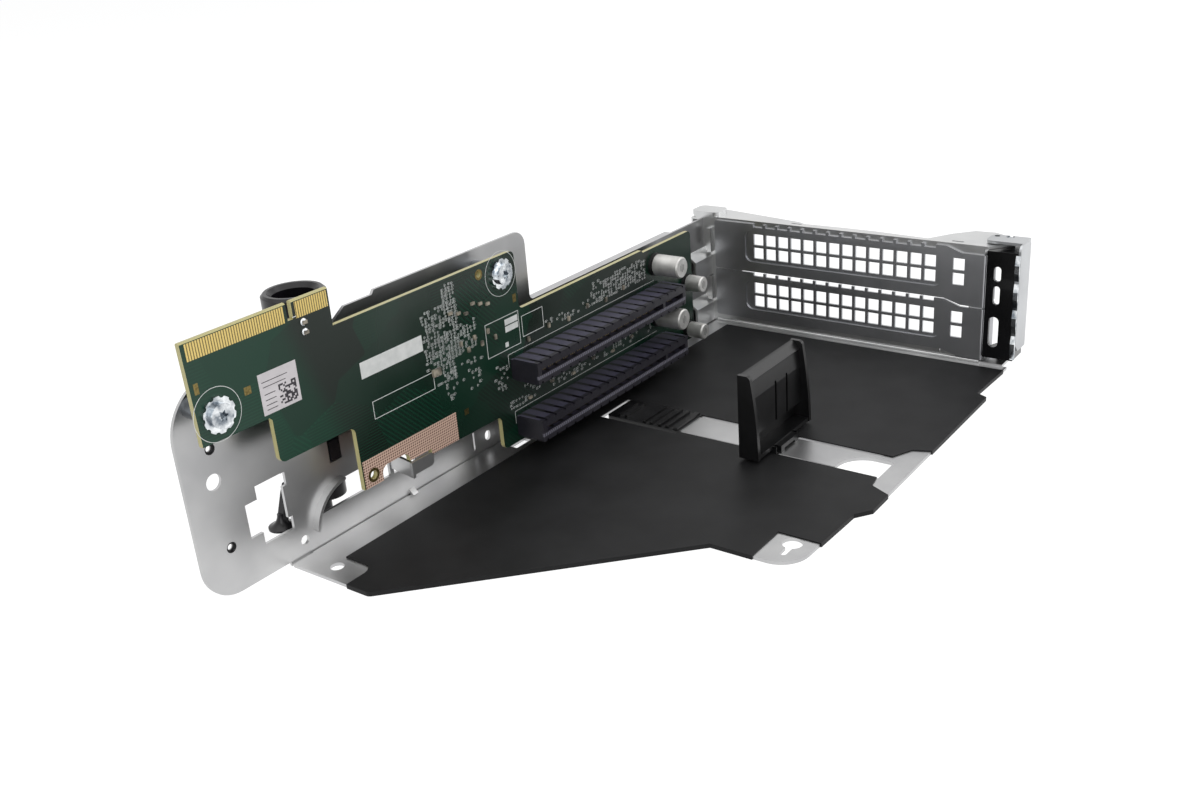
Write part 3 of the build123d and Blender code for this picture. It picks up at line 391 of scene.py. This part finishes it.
def ring(name, centre_x, centre_z, inner, outer, material, height, face=board_face):
    """A flat ring on an upright face: a rectangular section, inner to outer radius by 0 to height, turned
    about the board's normal. x = cx + r cos t, z = cz + r sin t, for t once round in 96 steps."""
    turn = np.linspace(0, 2 * np.pi, 96, endpoint=False)
    radii = np.array([inner, outer, outer, inner]) * mm
    depths = np.array([0, 0, height, height])
    points = np.empty((len(turn), 4, 3))
    points[:, :, 0] = centre_x * mm + np.cos(turn)[:, None] * radii
    points[:, :, 1] = face - depths
    points[:, :, 2] = centre_z * mm + np.sin(turn)[:, None] * radii
    here = np.arange(len(turn))[:, None] * 4
    there = np.roll(here, -1, axis=0)
    side = np.arange(4)[None]
    next_side = (side + 1) % 4
    faces = np.stack([here + side, there + side, there + next_side, here + next_side], axis=-1)
    piece = closed_piece(name, points, faces.reshape(-1, 4), material)
    return piece


# slabs that meet stay a hair's gap apart, so that each is closed
hair_gap = 0.01


def outline_rows(left, right, low, high, stroke):
    """The four strokes round a rectangle, as slab rows: two whole strokes with two shorter ones between."""
    width = right - left + stroke
    height = high - low - stroke - hair_gap
    middle_x = (left + right) / 2
    middle_z = (low + high) / 2
    return [
        (middle_x, low, width, stroke),
        (middle_x, high, width, stroke),
        (left, middle_z, stroke, height),
        (right, middle_z, stroke, height),
    ]


stroke_mm = 0.2
slot_line_stroke = 0.14
slot_line_gap = 1.5
drop_line_middle = 2.2
drop_line_length = 4.2
silk_rows = [(-188.6, 52.9, 25.2, 5.0)]
silk_rows += outline_rows(-198.6, -173.2, 37.0, 42.4, stroke_mm)
silk_rows += outline_rows(-148.1, -131.8, 37.7, 49.0, stroke_mm)
silk_rows += outline_rows(-130.3, -119.4, 39.3, 46.4, stroke_mm)
silk_rows += [(-135.5, 46.9, 6.4, 2.0), (-135.5, 44.5, 6.4, 2.0), (-138.6, 39.4, 1.6, 1.6)]
silk_rows += [(-239.5, 75.5, 30.6, 0.22), (-215.1, 75.7, 12.6, 0.22)]
for slot_name, left_mm, right_mm in (("upper_slot", -138.7, -53.0), ("lower_slot", -138.2, -53.0)):
    slot_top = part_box(slot_name)[1][2]
    line_z = slot_top / mm + slot_line_gap
    silk_rows.append(((left_mm + right_mm) / 2, line_z, right_mm - left_mm, slot_line_stroke))
    silk_rows.append((left_mm, line_z - drop_line_middle, slot_line_stroke, drop_line_length))
slabs("silkscreen_areas", silk_rows, white_ink, ink_height)

# outlines of small parts on a loose grid, each with a short stroke inside it. A field is left, right, low
# and high in mm, with the share of the grid's places that carry a mark. All mark sizes are in mm
ink_draw = np.random.default_rng(7)
mark_step_x = 1.5
mark_step_z = 1.05
mark_stroke = 0.1
mark_shift_x = 0.2
mark_shift_z = 0.1
mark_tallest_share = 0.8
mark_shrink = 0.15
mark_side_gap = 0.25
mark_bar_weight = 1.4
mark_half_widths = [0.2, 0.35, 0.55]
mark_fields = [
    (-175.0, -165.0, 43.5, 62.0, 0.75),
    (-165.0, -159.5, 44.0, 67.5, 0.85),
    (-159.0, -152.5, 44.5, 53.5, 0.6),
    (-171.5, -163.0, 37.5, 43.5, 0.8),
    (-171.0, -150.0, 31.0, 41.0, 0.25),
    (-146.0, -139.6, 24.0, 34.5, 0.4),
    (-139.8, -132.4, 16.9, 20.0, 0.6),
    (-118.0, -92.0, 38.5, 41.5, 0.35),
    (-92.0, -58.0, 38.5, 46.0, 0.7),
    (-132.0, -56.0, 17.2, 24.8, 0.3),
]
mark_rows = []
for left_mm, right_mm, low_mm, high_mm, share in mark_fields:
    grid_x, grid_z = np.meshgrid(
        np.arange(left_mm, right_mm, mark_step_x), np.arange(low_mm, high_mm, mark_step_z)
    )
    kept = ink_draw.random(grid_x.shape) < share
    mark_x = grid_x[kept] + ink_draw.uniform(-mark_shift_x, mark_shift_x, kept.sum())
    mark_z = grid_z[kept] + ink_draw.uniform(-mark_shift_z, mark_shift_z, kept.sum())
    half_wide = ink_draw.choice(mark_half_widths, kept.sum())
    half_tall = mark_tallest_share * mark_step_z / 2 - mark_shrink * ink_draw.random(kept.sum())
    thin = np.full(len(mark_x), mark_stroke)
    mark_rows += np.stack([mark_x, mark_z - half_tall, 2 * half_wide, thin], axis=1).tolist()
    mark_rows += np.stack([mark_x, mark_z + half_tall, 2 * half_wide, thin], axis=1).tolist()
    mark_rows += np.stack([mark_x - half_wide, mark_z, thin, 2 * half_tall - mark_stroke], axis=1).tolist()
    mark_rows += np.stack([mark_x + half_wide + mark_side_gap, mark_z, thin, half_tall], axis=1).tolist()
    mark_rows += np.stack([mark_x, mark_z, half_wide, thin * mark_bar_weight], axis=1).tolist()
slabs("silkscreen_marks", mark_rows, white_ink, ink_height * 0.8)
screw_ring_inner = 7.2
screw_ring_outer = 7.36
for ring_name, ring_x, ring_z in (("left_screw_ring", -249.5, 58.9), ("right_screw_ring", -138.2, 63.4)):
    ring(ring_name, ring_x, ring_z, screw_ring_inner, screw_ring_outer, white_ink, ink_height)

# Bare pads, edge fingers and contacts
# Copper left open in the mask and plated: gold where a contact slides, tin where solder sits. Fingers
# and contacts stand side by side in a row, so one band shows as fine stripes.
gold_plate = finish(
    "gold plated copper", "#6A5C38", "#8D7D50", 0.7, {"Metallic": 1.0, "Roughness": 0.34}
)
ring("plated_hole_land", -148.3, 66.0, 1.0, 1.7, gold_plate, ink_height)
ring("tooling_hole_land", -202.3, 20.6, 1.35, 2.2, gold_plate, ink_height)
target_rows = [
    (-239.4, 61.6, 2.2, 2.2),
    (-160.9, 24.4, 2.0, 2.0),
    (-132.8, 53.6, 1.7, 2.8),
    (-254.0, 67.5, 1.4, 3.0),
]
slabs("bare_targets", target_rows, gold_plate, ink_height / 2)


def striped_row(name, pitch_mm, gap_share, gap_colour, metal_colour, roughness):
    """Plated strips side by side along X: the fraction of x over the pitch tells strip from gap."""
    material, output = new_material(name)
    place = add_node(material, "ShaderNodeTexCoord").outputs["Object"]
    along = add_node(material, "ShaderNodeSeparateXYZ", {}, {"Vector": place}).outputs["X"]
    counted = add_node(
        material, "ShaderNodeMath", {"operation": "MULTIPLY", 1: 1000 / pitch_mm}, {0: along}
    ).outputs[0]
    within = add_node(material, "ShaderNodeMath", {"operation": "FRACT"}, {0: counted}).outputs[0]
    strip = add_node(
        material, "ShaderNodeMath", {"operation": "GREATER_THAN", 1: gap_share}, {0: within}
    ).outputs[0]
    colour = add_node(
        material,
        "ShaderNodeMix",
        {"data_type": "RGBA", 6: linear(gap_colour), 7: linear(metal_colour)},
        {0: strip},
    ).outputs[2]
    shader = add_node(
        material,
        "ShaderNodeBsdfPrincipled",
        {"Roughness": roughness},
        {"Base Color": colour, "Metallic": strip},
    )
    material.node_tree.links.new(shader.outputs[0], output.inputs["Surface"])
    return material


fingers = striped_row("gold plated edge fingers", 0.8, 0.38, "#6E6234", "#DDC47C", 0.4)
dress(fingers, "edge_fingers")
contacts = striped_row("gold flashed phosphor bronze contacts", 1.0, 0.5, "#0E0D12", "#9A8A6E", 0.45)
dress(contacts, "lower_slot_contacts", "upper_slot_contacts")

# Solder bumps
# Two test pads above the label are tinned in the reflow oven, where the molten solder has drawn itself
# into bright low domes.
solder = finish("reflowed tin solder", "#B9BCBE", "#D2D4D6", 1, {"Metallic": 1.0, "Roughness": 0.18})


def solder_dome(name, centre_x, centre_z, radius, rise):
    """A low dome on the board: a quarter ellipse, radius across by rise up, turned once round. The foot
    angle a and the turn t give x = cx + r sin a cos t, z = cz + r sin a sin t, out by rise cos a."""
    levels = 8
    around = 32
    foot_angle = np.linspace(np.pi / 2, 0, levels + 1)[:-1]
    turn = np.linspace(0, 2 * np.pi, around, endpoint=False)
    points = np.empty((levels, around, 3))
    points[:, :, 0] = centre_x * mm + radius * mm * np.sin(foot_angle)[:, None] * np.cos(turn)
    points[:, :, 1] = board_face - rise * mm * np.cos(foot_angle)[:, None]
    points[:, :, 2] = centre_z * mm + radius * mm * np.sin(foot_angle)[:, None] * np.sin(turn)
    tip = (centre_x * mm, board_face - rise * mm, centre_z * mm)
    foot = (centre_x * mm, board_face, centre_z * mm)
    tip_number = levels * around
    foot_number = tip_number + 1
    here = np.arange(around)
    there = (here + 1) % around
    rows = np.arange(levels - 1)[:, None] * around
    last_row = tip_number - around
    lower = np.stack([rows + here, rows + there, rows + around + there], axis=-1).reshape(-1, 3)
    upper = np.stack([rows + here, rows + around + there, rows + around + here], axis=-1).reshape(-1, 3)
    cap = np.stack([last_row + here, last_row + there, np.full(around, tip_number)], axis=-1)
    under = np.stack([there, here, np.full(around, foot_number)], axis=-1)
    faces = np.concatenate([lower, upper, cap, under])
    piece = closed_piece(name, np.vstack([points.reshape(-1, 3), tip, foot]), faces, solder)
    piece.data.polygons.foreach_set("use_smooth", np.arange(len(faces)) < len(faces) - len(under))


solder_dome("upper_solder_dome", -218.0, 73.4, 1.15, 0.7)
solder_dome("lower_solder_dome", -218.0, 70.6, 1.15, 0.7)

# Card slots
# Glass-filled liquid-crystal polymer, injection moulded: near black with a violet cast and a satin skin.
# Thin ribs stand between the contact cavities along the lower lip of each mouth, and their edges carry a pale
# painted highlight.
slot_plastic, slot_output = new_material("glass filled connector polymer")
slot_coords = add_node(slot_plastic, "ShaderNodeTexCoord")
slot_xyz = add_node(slot_plastic, "ShaderNodeSeparateXYZ", {}, {"Vector": slot_coords.outputs["Object"]})
rib_pitch_mm = 1.0
rib_foot = 1.7 * mm
rib_head = 2.9 * mm
rib_count = add_node(
    slot_plastic,
    "ShaderNodeMath",
    {"operation": "MULTIPLY", 1: 1000 / rib_pitch_mm},
    {0: slot_xyz.outputs["X"]},
).outputs[0]
rib_wave = add_node(
    slot_plastic, "ShaderNodeMath", {"operation": "PINGPONG", 1: 0.5}, {0: rib_count}
).outputs[0]
rib_bands = [
    in_band(slot_plastic, slot_xyz.outputs["Z"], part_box(name)[0][2] + rib_foot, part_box(name)[0][2] + rib_head)
    for name in ("lower_slot", "upper_slot")
]
rib_area = add_node(
    slot_plastic, "ShaderNodeMath", {"operation": "ADD"}, {0: rib_bands[0], 1: rib_bands[1]}
).outputs[0]
slot_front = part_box("upper_slot")[0][1]
on_mouth_face = in_band(slot_plastic, slot_xyz.outputs["Y"], slot_front - 0.1 * mm, slot_front + 0.6 * mm)
# painted highlight: where the ribs stand on the mouth face, pale stripes are painted for light catching their
# edges
rib_highlight_here = both_of(slot_plastic, both_of(slot_plastic, rib_area, on_mouth_face), rib_wave)
slot_colour = add_node(
    slot_plastic,
    "ShaderNodeMix",
    {"data_type": "RGBA", 7: linear("#B4B1C2")},
    {0: rib_highlight_here, 6: mottled(slot_plastic, "#16141C", "#201E27", 0.6)},
).outputs[2]
# the upward flanks carry a painted highlight where light skims them, and painted shade in dark slits parts them
# into blocks
flank_pitch = 5.0 * mm
flank_slit = 1.5 * mm
first_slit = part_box("upper_slot")[0][0] + 2.0 * mm
from_slit = add_node(
    slot_plastic,
    "ShaderNodeMath",
    {"operation": "MULTIPLY_ADD", 1: 1 / flank_pitch, 2: (flank_slit / 2 - first_slit) / flank_pitch},
    {0: slot_xyz.outputs["X"]},
).outputs[0]
in_block = add_node(slot_plastic, "ShaderNodeMath", {"operation": "FRACT"}, {0: from_slit}).outputs[0]
in_slit_shade = add_node(
    slot_plastic, "ShaderNodeMath", {"operation": "LESS_THAN", 1: flank_slit / flank_pitch}, {0: in_block}
).outputs[0]
flank_highlight_and_slit_shade = add_node(
    slot_plastic,
    "ShaderNodeMix",
    {"data_type": "RGBA", 6: linear("#434152"), 7: linear("#030304")},
    {0: in_slit_shade},
).outputs[2]
slot_facing = add_node(slot_plastic, "ShaderNodeSeparateXYZ", {}, {"Vector": slot_coords.outputs["Normal"]})
faces_up = add_node(
    slot_plastic, "ShaderNodeMath", {"operation": "GREATER_THAN", 1: 0.8}, {0: slot_facing.outputs["Z"]}
).outputs[0]
mouth_rim = 1.6 * mm
on_flank = both_of(
    slot_plastic, faces_up, in_band(slot_plastic, slot_xyz.outputs["Y"], slot_front + mouth_rim, 0.0)
)
slot_tone = add_node(
    slot_plastic, "ShaderNodeMix", {"data_type": "RGBA"}, {0: on_flank, 6: slot_colour, 7: flank_highlight_and_slit_shade}
).outputs[2]
slot_shader = add_node(
    slot_plastic,
    "ShaderNodeBsdfPrincipled",
    {"Roughness": 0.4, "IOR": 1.6, "Specular IOR Level": 0.55},
    {"Base Color": slot_tone},
)
slot_plastic.node_tree.links.new(slot_shader.outputs[0], slot_output.inputs["Surface"])
dress(slot_plastic, "lower_slot", "upper_slot")

# Capacitors
# Drawn aluminium cans, plain and satin, crimped over a rubber bung and seated on black moulded bases.
# A few grey strokes are stamped on each end.
can_metal = finish("drawn aluminium", "#BAB9B6", "#D0CFCC", 4, {"Metallic": 0.7, "Roughness": 0.42})
dress(can_metal, "large_cans", "small_cans")
base_moulding = finish("moulded black nylon", "#0D0D0E", "#171717", 1, {"Roughness": 0.45, "IOR": 1.53})
dress(base_moulding, "large_can_bases", "small_can_bases")
stamp_ink = finish("grey stamping ink", "#4E4E4C", "#656562", 1, {"Roughness": 0.6})
large_can_radius = 4.0
small_can_radius = 3.15
for can_name, can_radius in (("large_cans", large_can_radius), ("small_cans", small_can_radius)):
    can_low, can_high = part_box(can_name)
    can_x = (can_low[0] + can_high[0]) / 2 / mm
    stamp_rows = [
        (can_x + shift, can_z, 0.35, tall)
        for can_z in (can_low[2] / mm + can_radius, can_high[2] / mm - can_radius)
        for shift, tall in ((-0.9, 2.2), (0.0, 3.2), (0.9, 2.2))
    ]
    slabs(can_name + "_stamp", stamp_rows, stamp_ink, 0.01 * mm, can_low[1])

# Small surface-mount parts
# Resistors and capacitors a millimetre or two long: fired ceramic chips, soldered flat to their lands.
chip_ceramic = finish("fired chip ceramic", "#3A3630", "#A89F8E", 3, {"Roughness": 0.5, "IOR": 1.6})
dress(chip_ceramic, "surface_mount_parts")

# Thread-formed holes of the side wall
# Two holes drawn through the sheet and tapped. A dark ring inside each hole is painted shade, for the shade in
# the threads.
thread_shade_steel = finish(
    "painted thread shade on plated steel", "#1B1B1C", "#353536", 0.8, {"Metallic": 1.0, "Roughness": 0.4}
)
wall_back = 12.0 * mm
rim_inner = 0.92
rim_outer = 1.58
rim_depth = 0.5 * mm
# painted shade: a thin dark ring stands just inside each hole
for rim_name, rim_x, rim_z in (("lower_thread_shade_ring", -246.6, 15.6), ("upper_thread_shade_ring", -246.8, 45.5)):
    ring(rim_name, rim_x, rim_z, rim_inner, rim_outer, thread_shade_steel, rim_depth, wall_back)

# Screws, standoffs, latch pin and spring strip
# Steel turned or stamped and bright zinc plated with a faint blue cast, so it mirrors the room sharply.
bright_zinc = finish(
    "bright zinc plated steel", "#7A828A", "#EEF1F3", 2.8, {"Metallic": 1.0, "Roughness": 0.12}
)
dress(bright_zinc, "board_screws", "latch_pin", "emi_spring")
turned_steel = finish(
    "turned zinc plated steel", "#4A4D50", "#6A6E72", 4, {"Metallic": 1.0, "Roughness": 0.3}
)
dress(turned_steel, "board_standoffs")

# Filler brackets
# Nickel-plated spring steel, pressed and perforated. It is darker than the cage, and its rolled
# grain blurs reflections.
bracket_steel = plated_steel("nickel plated bracket steel", "#A6A7AA", "#B8B9BC", 0.36, 2.0)
dress(bracket_steel, "lower_filler_bracket", "upper_filler_bracket")

# Latch at the brackets' ends
# The door is steel with a glossy black electrocoat, and its outer cover is plain plated sheet.
black_coat = finish(
    "black electrocoated steel", "#040405", "#0B0B0D", 8, {"Roughness": 0.18, "Coat Weight": 0.3}
)
dress(black_coat, "bracket_latch")
cover_steel = plated_steel("plated latch cover steel", "#ACAEB0", "#BEC0C2", 0.3, 2.0)
dress(cover_steel, "latch_cover")

# Card holder, its catch and the guide sleeve
# Injection-moulded black ABS with a fine spark-eroded texture. The sleeve is smoother, so it shines more.


def moulded_abs(name, dark, light, roughness, texture_mm):
    """Black moulding with a spark-eroded skin: a fine bump of texture_mm over an even satin."""
    material, output = new_material(name)
    place = add_node(material, "ShaderNodeTexCoord").outputs["Object"]
    skin = add_node(
        material, "ShaderNodeTexNoise", {"Scale": 1000 / texture_mm, "Detail": 3.0}, {"Vector": place}
    ).outputs["Fac"]
    bump = add_node(
        material, "ShaderNodeBump", {"Strength": 0.2, "Distance": 0.00006}, {"Height": skin}
    ).outputs[0]
    shader = add_node(
        material,
        "ShaderNodeBsdfPrincipled",
        {"Roughness": roughness, "IOR": 1.54, "Specular IOR Level": 0.35},
        {"Base Color": mottled(material, dark, light, 6), "Normal": bump},
    )
    material.node_tree.links.new(shader.outputs[0], output.inputs["Surface"])
    return material


holder_abs = moulded_abs("textured black ABS", "#09090A", "#111112", 0.32, 0.35)
dress(holder_abs, "card_holder", "holder_catch")
sleeve_abs = moulded_abs("smooth black ABS", "#0B0A0D", "#151318", 0.3, 0.6)
dress(sleeve_abs, "guide_sleeve")

# Label on the board
# Thermal-printed white polyester, stuck by hand, with plain rules and one block of scattered cells
# that stands for print and says nothing.
label_film = finish("white polyester label", "#CBC6C8", "#D6D1D3", 5, {"Roughness": 0.5})
dress(label_film, "board_label")
print_ink = finish("black thermal print", "#2A272C", "#3A373C", 1, {"Roughness": 0.6})
label_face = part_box("board_label")[0][1]
cell_mm = 0.54
cell_side = cell_mm - hair_gap
cell_x, cell_z = np.meshgrid(np.arange(11) * cell_mm - 229.6, np.arange(11) * cell_mm + 54.0)
cell_on = ink_draw.random(cell_x.shape) < 0.6
cell_sides = np.full(cell_on.sum(), cell_side)
print_rows = np.stack([cell_x[cell_on], cell_z[cell_on], cell_sides, cell_sides], axis=1).tolist()
print_rows += [(-230.6, 61.9, 8.6, 0.2), (-230.9, 60.5, 7.6, 0.2)]
print_rows += [(-232.8, line_z, 3.6, 0.22) for line_z in (58.4, 56.8, 55.4, 54.1)]
slabs("label_print", print_rows, print_ink, 0.02 * mm, label_face)

# Floor, lights and camera
# A plain pale floor that the camera and mirrors see as white, with the object's soft shadow, one broad
# overhead light and two fills, and the camera at the angle and distance worked out from straight edges.
world = bpy.data.worlds.new("soft studio")
bpy.context.scene.world = world
world.use_nodes = True
world.node_tree.nodes.clear()
world_path = add_node(world, "ShaderNodeLightPath")
room_light = add_node(world, "ShaderNodeBackground", {"Color": linear("#C8CACC"), "Strength": 0.55})
white_seen = add_node(world, "ShaderNodeBackground", {"Color": (1, 1, 1, 1), "Strength": 1.0})
seen_directly = add_node(
    world,
    "ShaderNodeMath",
    {"operation": "MAXIMUM"},
    {0: world_path.outputs["Is Camera Ray"], 1: world_path.outputs["Is Glossy Ray"]},
)
seen_through = add_node(
    world,
    "ShaderNodeMath",
    {"operation": "MAXIMUM"},
    {0: seen_directly.outputs[0], 1: world_path.outputs["Is Transmission Ray"]},
)
world_mix = add_node(
    world,
    "ShaderNodeMixShader",
    {},
    {0: seen_through.outputs[0], 1: room_light.outputs[0], 2: white_seen.outputs[0]},
)
add_node(world, "ShaderNodeOutputWorld", {}, {"Surface": world_mix.outputs[0]})

floor_reach = 4.0
corner_signs = np.array([(-1, -1), (1, -1), (1, 1), (-1, 1)])
floor_corners = np.column_stack([corner_signs * floor_reach, np.zeros(4)])
floor_mesh = bpy.data.meshes.new("studio_floor")
floor_mesh.from_pydata(floor_corners.tolist(), [], [(0, 1, 2, 3)])
floor = bpy.data.objects.new("studio_floor", floor_mesh)
bpy.context.scene.collection.objects.link(floor)
floor_paint, floor_output = new_material("white studio floor")
floor_path = add_node(floor_paint, "ShaderNodeLightPath")
floor_matt = add_node(floor_paint, "ShaderNodeBsdfDiffuse", {"Color": linear("#F2F2F2")})
floor_shade = add_node(floor_paint, "ShaderNodeBsdfDiffuse", {"Color": linear("#8C8C8C")})
floor_glow = add_node(floor_paint, "ShaderNodeEmission", {"Color": (1, 1, 1, 1), "Strength": 0.9})
floor_white = add_node(
    floor_paint, "ShaderNodeAddShader", {}, {0: floor_shade.outputs[0], 1: floor_glow.outputs[0]}
)
floor_seen = add_node(
    floor_paint,
    "ShaderNodeMath",
    {"operation": "MAXIMUM"},
    {0: floor_path.outputs["Is Camera Ray"], 1: floor_path.outputs["Is Glossy Ray"]},
)
floor_mix = add_node(
    floor_paint,
    "ShaderNodeMixShader",
    {},
    {0: floor_seen.outputs[0], 1: floor_matt.outputs[0], 2: floor_white.outputs[0]},
)
floor_paint.node_tree.links.new(floor_mix.outputs[0], floor_output.inputs["Surface"])
floor_mesh.materials.append(floor_paint)


def soft_light(name, place, aim, size, power):
    """A square area light at place, turned to face aim."""
    lamp = bpy.data.lights.new(name, "AREA")
    lamp.size = size
    lamp.energy = power
    light = bpy.data.objects.new(name, lamp)
    bpy.context.scene.collection.objects.link(light)
    to_aim = np.array(aim, float) - np.array(place, float)
    back = -to_aim / np.linalg.norm(to_aim)
    right = np.cross((0, 1, 0), back)
    right /= np.linalg.norm(right)
    up = np.cross(back, right)
    light.matrix_world = Matrix(
        [[right[i], up[i], back[i], place[i]] for i in range(3)] + [[0, 0, 0, 1]]
    )


soft_light("overhead_light", (-0.1, -0.15, 1.1), (-0.12, -0.03, 0.0), 2.0, 8.8)
soft_light("front_fill", (-0.9, -0.6, 0.5), (-0.12, -0.03, 0.04), 0.9, 3.5)
soft_light("right_fill", (0.5, -0.7, 0.45), (-0.1, -0.03, 0.03), 0.8, 2.5)

camera_azimuth = 0.9117030786576766
camera_dip = 0.40344332787749393
camera_roll = -0.07736657061011139
camera_place = (-0.41583, -0.25109, 0.17651)
look = np.array(
    [
        math.sin(camera_azimuth) * math.cos(camera_dip),
        math.cos(camera_azimuth) * math.cos(camera_dip),
        -math.sin(camera_dip),
    ]
)
level_right = np.array([math.cos(camera_azimuth), -math.sin(camera_azimuth), 0.0])
level_up = np.cross(level_right, look)
camera_right = math.cos(camera_roll) * level_right + math.sin(camera_roll) * level_up
camera_up = -math.sin(camera_roll) * level_right + math.cos(camera_roll) * level_up
camera_data = bpy.data.cameras.new("studio_camera")
camera_data.sensor_width = 36.0
camera_data.lens = 36.61
camera_data.clip_start = 0.01
camera = bpy.data.objects.new("studio_camera", camera_data)
bpy.context.scene.collection.objects.link(camera)
camera.matrix_world = Matrix(
    [[camera_right[i], camera_up[i], -look[i], camera_place[i]] for i in range(3)] + [[0, 0, 0, 1]]
)
bpy.context.scene.camera = camera
bpy.context.scene.view_settings.view_transform = "Standard"
